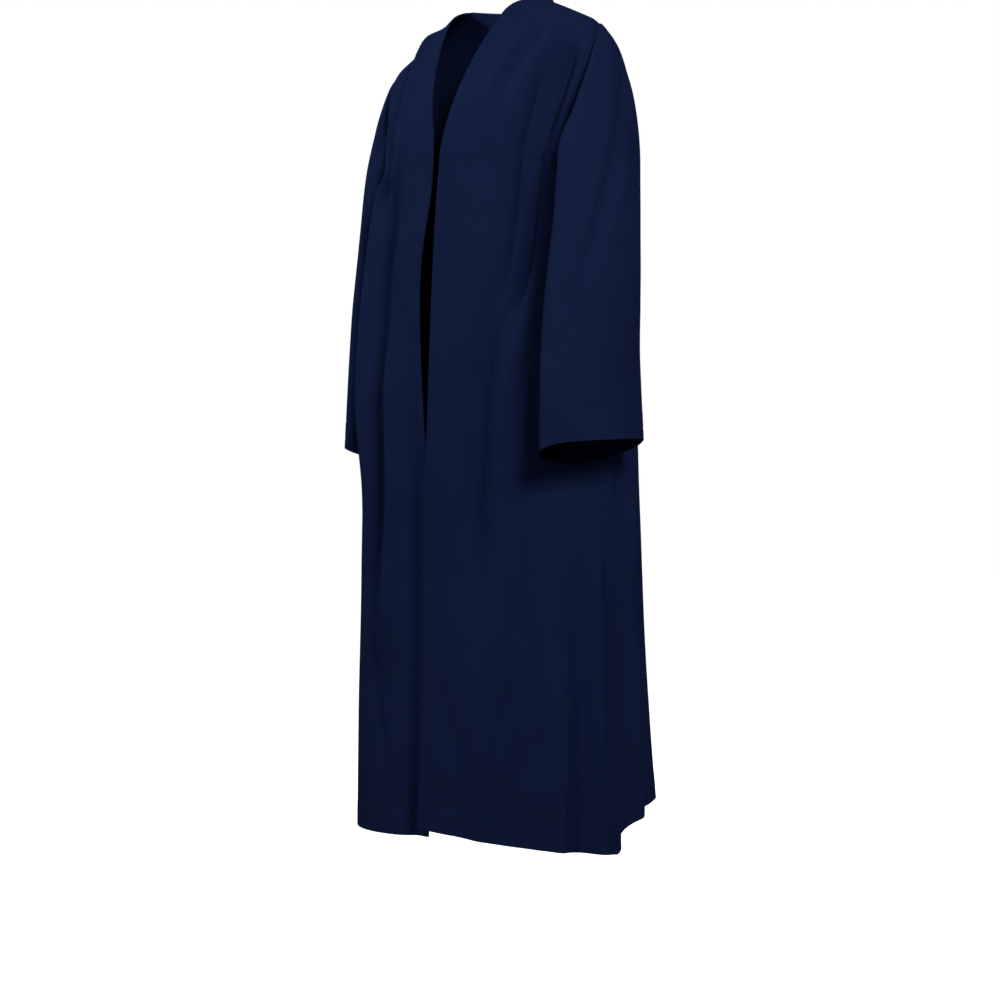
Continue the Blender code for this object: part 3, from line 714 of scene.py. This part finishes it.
def share_seam_normals(panels):
    """Gives the points that pieces share one normal, so that their walls meet edge to edge."""
    met = {}
    for panel in panels:
        for place in panel.seams:
            keys = [tuple(point) for point in np.round(panel.grid[place], 6)]
            for key, normal in zip(keys, panel.normals[place]):
                met.setdefault(key, {})[panel.name] = normal.copy()
    for panel in panels:
        for place in panel.seams:
            keys = [tuple(point) for point in np.round(panel.grid[place], 6)]
            shared = [joined_normal(met[key][panel.name], np.array(list(met[key].values()))) for key in keys]
            panel.normals[place] = np.array(shared)


def rim_loop(line, closed, count):
    """The faces from an edge of the outer surface to the same edge of the inner one."""
    ahead = np.roll(line, -1) if closed else line[1:]
    here = line if closed else line[:-1]
    return np.stack([here, ahead, ahead + count, here + count], axis=-1)


def shell(panel):
    """Makes the thin closed shell of a panel: the outer points, the inner points, and a rim."""
    rows, columns = panel.grid.shape[:2]
    outside = panel.grid + panel.normals * panel.lift[..., None]
    inside = outside - panel.normals * panel.thickness[..., None]
    corners = np.concatenate([outside.reshape(-1, 3), inside.reshape(-1, 3)])
    count = rows * columns
    across = columns if panel.closed else columns - 1
    row, column = np.meshgrid(np.arange(rows - 1), np.arange(across), indexing="ij")
    after = (column + 1) % columns
    here, beside = row * columns + column, row * columns + after
    below, across_below = (row + 1) * columns + column, (row + 1) * columns + after
    outer = np.stack([here, below, across_below, beside], axis=-1).reshape(-1, 4)
    inner = np.stack([here, beside, across_below, below], axis=-1).reshape(-1, 4) + count
    loops = [rim_loop(np.arange(columns), panel.closed, count)]
    last = (rows - 1) * columns + np.arange(columns)
    loops.append(rim_loop(last[::-1], panel.closed, count))
    if not panel.closed:
        side_row = np.arange(rows) * columns
        loops.append(rim_loop(side_row[::-1], False, count))
        loops.append(rim_loop(side_row + columns - 1, False, count))
    faces = np.concatenate([outer, inner, *loops])
    mesh = bpy.data.meshes.new(panel.name)
    mesh.from_pydata(corners.tolist(), [], faces.tolist())
    mesh.shade_smooth()
    mesh.set_sharp_from_angle(angle=SHARP_ANGLE)
    obj = bpy.data.objects.new(panel.name + "_cloth", mesh)
    bpy.context.scene.collection.objects.link(obj)
    return obj


def front(name, edge, side, folds, creases, down):
    """One front, sewn at the shoulder and the side and turned at its edge and hem."""
    across = across_steps()
    grid = front_surface(edge, side, across, down)
    place = place_along_rows(grid, 0)
    grid = fold_panel(grid, 0, [-1], down, folds, side)
    panel = Panel(name, grid if side == LEFT else grid[:, ::-1])
    flip = slice(None) if side == LEFT else slice(None, None, -1)
    edge_reach = reach_along(grid, 1, False)
    seam_reach = reach_along(grid, 1, True)
    top_reach = reach_along(grid, 0, False)
    hem_reach = reach_along(grid, 0, True)
    calm = ramp(seam_reach, 0, SEAM_CALM) * ramp(top_reach, 0, SEAM_CALM)
    fine = fold_heights(place, down, creases) + drift(place, down, DRIFT_SEEDS[name], BODY_DRIFT)
    panel.lift += (fine * calm + armhole_dip(seam_reach, down[:, None]))[:, flip]
    panel.sew((0, slice(None)), top_reach[:, flip], place[:, flip], TOP_SEED)
    column = -1 if side == LEFT else 0
    panel.sew((slice(None), column), seam_reach[:, flip], top_reach[:, flip], SIDE_SEED)
    panel.hem(hem_reach[:, flip], HEM_DEPTH, [HEM_DEPTH])
    panel.hem(edge_reach[:, flip], FRONT_TURN, [FRONT_TURN])
    # Where the hem crosses the turned edge, the cloth is no thicker than double.
    panel.thickness = np.minimum(panel.thickness, DOUBLE)
    return panel


def back(down):
    """The back, sewn at the shoulders and sides and turned at its neck and hem."""
    neck = np.linspace(0, 1, NECK_STEPS + 1)
    grid = whole_back(neck, across_steps(), down)
    middle = grid.shape[1] // 2
    place = place_along_rows(grid, middle)
    grid = fold_panel(grid, middle, [0, -1], down, FOLDS_BACK, RIGHT)
    top_reach = reach_along(grid, 0, False)
    hem_reach = reach_along(grid, 0, True)
    side_reach = np.minimum(reach_along(grid, 1, False), reach_along(grid, 1, True))
    calm = ramp(side_reach, 0, SEAM_CALM) * ramp(top_reach, 0, SEAM_CALM)
    fine = fold_heights(place, down, CREASES_BACK) + drift(place, down, DRIFT_SEEDS["back"], BODY_DRIFT)
    panel = Panel("back", grid[:, ::-1])
    panel.lift += (fine * calm + armhole_dip(side_reach, down[:, None]))[:, ::-1]
    seam_columns = middle - NECK_STEPS
    # The top row is a seam at the shoulders and a turned edge at the neck.
    shoulder = np.ones(grid.shape[1], bool)
    shoulder[seam_columns + 1 : -seam_columns - 1] = False
    top_seam = np.where(shoulder[None, :], top_reach, 1.0)
    panel.seams.append((0, slice(0, seam_columns + 1)))
    panel.seams.append((0, slice(-seam_columns - 1, None)))
    panel.lift += seam_dip(top_seam, place, TOP_SEED)[:, ::-1]
    for column in (0, -1):
        panel.seams.append((slice(None), column))
    panel.lift += seam_dip(side_reach, top_reach, SIDE_SEED)[:, ::-1]
    panel.hem(hem_reach[:, ::-1], HEM_DEPTH, [HEM_DEPTH])
    neck_reach = np.where(shoulder[None, :], 1.0, top_reach)
    panel.hem(neck_reach[:, ::-1], FRONT_TURN, [FRONT_TURN])
    return panel


def sleeve(name, rings, folds, creases, side, down):
    """One sleeve, sewn at the armhole and turned at its cuff."""
    armhole = down[: ARMHOLE_STEPS + 1]
    length = rings["along"][-1]
    turn = length - CUFF_DEPTH - CUFF_MARGIN
    upper = np.linspace(0, turn, SLEEVE_STEPS + 1)
    along = np.concatenate([upper, np.linspace(turn, length, CUFF_STEPS + 1)[1:]])
    grid = sleeve_surface(rings, side, armhole, along)
    grid = fold_sleeve(grid, along, folds, -side)
    turn_share = np.repeat((np.arange(grid.shape[1]) / grid.shape[1])[None, :], len(grid), axis=0)
    fine = sum(fold_heights(turn_share + whole, along, creases) for whole in (-1, 0, 1))
    across_sleeve = np.sin(2 * math.pi * turn_share) * SLEEVE_RADIUS
    fine += drift(across_sleeve, along, DRIFT_SEEDS[name], SLEEVE_DRIFT)
    top_reach = reach_along(grid, 0, False)
    cuff_reach = reach_along(grid, 0, True)
    order = slice(None, None, -side)
    panel = Panel(name, grid[:, order], closed=True)
    ring_down = np.concatenate([armhole, armhole[-2:0:-1]])
    fine = fine * ramp(top_reach, 0, SEAM_CALM) + armhole_dip(top_reach, ring_down[None, :])
    panel.lift += fine[:, order]
    panel.sew((0, slice(None)), top_reach[:, order], turn_share[:, order], SIDE_SEED)
    panel.hem(cuff_reach[:, order], CUFF_DEPTH, [CUFF_DEPTH, CUFF_STITCH])
    return panel


def noise(nodes, scale, detail):
    """A noise texture of this fineness and detail."""
    made = nodes.new("ShaderNodeTexNoise")
    made.inputs["Scale"].default_value = scale
    made.inputs["Detail"].default_value = detail
    return made


def navy_cloth():
    """Fine, smooth, nearly matt cloth with a soft sheen and hardly visible threads."""
    made = bpy.data.materials.new("navy_cloth_fine")
    made.use_nodes = True
    nodes, links = made.node_tree.nodes, made.node_tree.links
    shader = nodes["Principled BSDF"]
    where = nodes.new("ShaderNodeTexCoord")
    stretch = nodes.new("ShaderNodeMapping")
    stretch.inputs["Scale"].default_value = THREAD_STRETCH
    links.new(where.outputs["Object"], stretch.inputs["Vector"])
    thread = noise(nodes, THREAD_SCALE, 2)
    links.new(stretch.outputs["Vector"], thread.inputs["Vector"])
    cloud = noise(nodes, CLOUD_SCALE, 3)
    links.new(where.outputs["Object"], cloud.inputs["Vector"])
    mixed = nodes.new("ShaderNodeMath")
    mixed.operation = "MULTIPLY_ADD"
    mixed.inputs[1].default_value = THREAD_SHARE
    links.new(thread.outputs["Fac"], mixed.inputs[0])
    links.new(cloud.outputs["Fac"], mixed.inputs[2])
    colours = nodes.new("ShaderNodeValToRGB")
    colours.color_ramp.elements[0].position = BLUE_FROM
    colours.color_ramp.elements[0].color = DARK_BLUE
    colours.color_ramp.elements[1].position = 1.0
    colours.color_ramp.elements[1].color = LIGHT_BLUE
    links.new(mixed.outputs[0], colours.inputs["Fac"])
    links.new(colours.outputs["Color"], shader.inputs["Base Color"])
    bump = nodes.new("ShaderNodeBump")
    bump.inputs["Strength"].default_value = BUMP_STRENGTH
    bump.inputs["Distance"].default_value = BUMP_HEIGHT
    links.new(thread.outputs["Fac"], bump.inputs["Height"])
    links.new(bump.outputs["Normal"], shader.inputs["Normal"])
    shader.inputs["Roughness"].default_value = CLOTH_ROUGHNESS
    shader.inputs["Specular IOR Level"].default_value = 0.0
    shader.inputs["Sheen Weight"].default_value = SHEEN
    shader.inputs["Sheen Roughness"].default_value = SHEEN_ROUGHNESS
    shader.inputs["Sheen Tint"].default_value = SHEEN_BLUE
    return made


def pale_floor():
    """A matt pale surface that glows white."""
    made = bpy.data.materials.new("pale_floor")
    made.use_nodes = True
    shader = made.node_tree.nodes["Principled BSDF"]
    shader.inputs["Base Color"].default_value = (0.5, 0.5, 0.5, 1)
    shader.inputs["Roughness"].default_value = 0.9
    shader.inputs["Emission Color"].default_value = (1, 1, 1, 1)
    shader.inputs["Emission Strength"].default_value = FLOOR_GLOW
    return made


def floor():
    """A wide pale floor, as white as its surroundings, that throws no light back up."""
    bpy.ops.mesh.primitive_plane_add(size=FLOOR_SIZE, location=(0, 0, FLOOR_Z))
    obj = bpy.context.object
    obj.name = "floor"
    obj.data.materials.append(pale_floor())
    obj.visible_diffuse = False
    obj.visible_glossy = False


def area_light(name, place, aim, size, power):
    """A round lamp that stands at place and aims at aim."""
    data = bpy.data.lights.new(name, "AREA")
    data.shape = "DISK"
    data.size = size
    data.energy = power
    obj = bpy.data.objects.new(name, data)
    obj.location = place
    direction = np.array(aim) - np.array(place)
    yaw = math.atan2(direction[1], direction[0]) - math.pi / 2
    tilt = math.atan2(direction[2], math.hypot(direction[0], direction[1]))
    obj.rotation_euler = (math.pi / 2 + tilt, 0, yaw)
    bpy.context.scene.collection.objects.link(obj)


def surroundings():
    """A white studio. Only the area lights light the cloth, so that its folds keep their shade."""
    world = bpy.data.worlds.new("studio")
    world.use_nodes = True
    back_light = world.node_tree.nodes["Background"]
    back_light.inputs["Color"].default_value = (1, 1, 1, 1)
    back_light.inputs["Strength"].default_value = WORLD_STRENGTH
    world.cycles_visibility.diffuse = False
    world.cycles_visibility.glossy = False
    bpy.context.scene.world = world
    bpy.context.scene.view_settings.view_transform = "Standard"


def lights():
    """Soft lamps, each by where it stands, what it aims at, how wide it is and its power."""
    middle = (0, 0, -0.6)
    lamps = [
        ("key", (3.0, -1.4, 0.8), (0, 0, -0.4), 1.0, 95),
        ("high", (0.3, -2.7, 1.5), (0, 0, -0.4), 1.0, 34),
        ("far", (-2.6, -1.4, 0.2), middle, 1.2, 21),
        ("top", (-1.7, -1.4, 0.9), (-0.1, 0, -0.15), 0.4, 38),
        ("low", (1.5, -2.2, -1.35), (0.1, 0, -0.7), 0.9, 6),
        ("back_left", (1.9, 2.7, 0.8), middle, 1.6, 34),
        ("back_right", (-1.4, 3.0, 0.7), middle, 1.6, 75),
    ]
    for name, place, aim, size, power in lamps:
        area_light(name, place, aim, size, power)


def camera():
    """The camera stands off the robe's front left corner, below its middle, and looks slightly up."""
    data = bpy.data.cameras.new("camera")
    data.lens = CAMERA_LENS
    data.sensor_width = CAMERA_SENSOR
    obj = bpy.data.objects.new("camera", data)
    obj.location = CAMERA_PLACE
    obj.rotation_euler = (math.pi / 2 + CAMERA_PITCH, 0, CAMERA_TURN)
    bpy.context.scene.collection.objects.link(obj)
    bpy.context.scene.camera = obj


def build():
    """Makes the five pieces of cloth, and says what each one belongs to, replaces and is made of."""
    down = down_rows()
    panels = [
        front("front_left", EDGE_LEFT, LEFT, FOLDS_LEFT, CREASES_LEFT, down),
        front("front_right", EDGE_RIGHT, RIGHT, FOLDS_RIGHT, CREASES_RIGHT, down),
        back(down),
        sleeve("sleeve_left", SLEEVE_LEFT, SLEEVE_FOLDS_LEFT, SLEEVE_CREASES_LEFT, LEFT, down),
        sleeve("sleeve_right", SLEEVE_RIGHT, SLEEVE_FOLDS_RIGHT, SLEEVE_CREASES_RIGHT, RIGHT, down),
    ]
    share_seam_normals(panels)
    cloth = navy_cloth()
    for panel in panels:
        obj = shell(panel)
        obj.data.materials.append(cloth)
        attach(obj, "root")
        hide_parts(panel.name)


camera()
surroundings()
lights()
floor()
build()
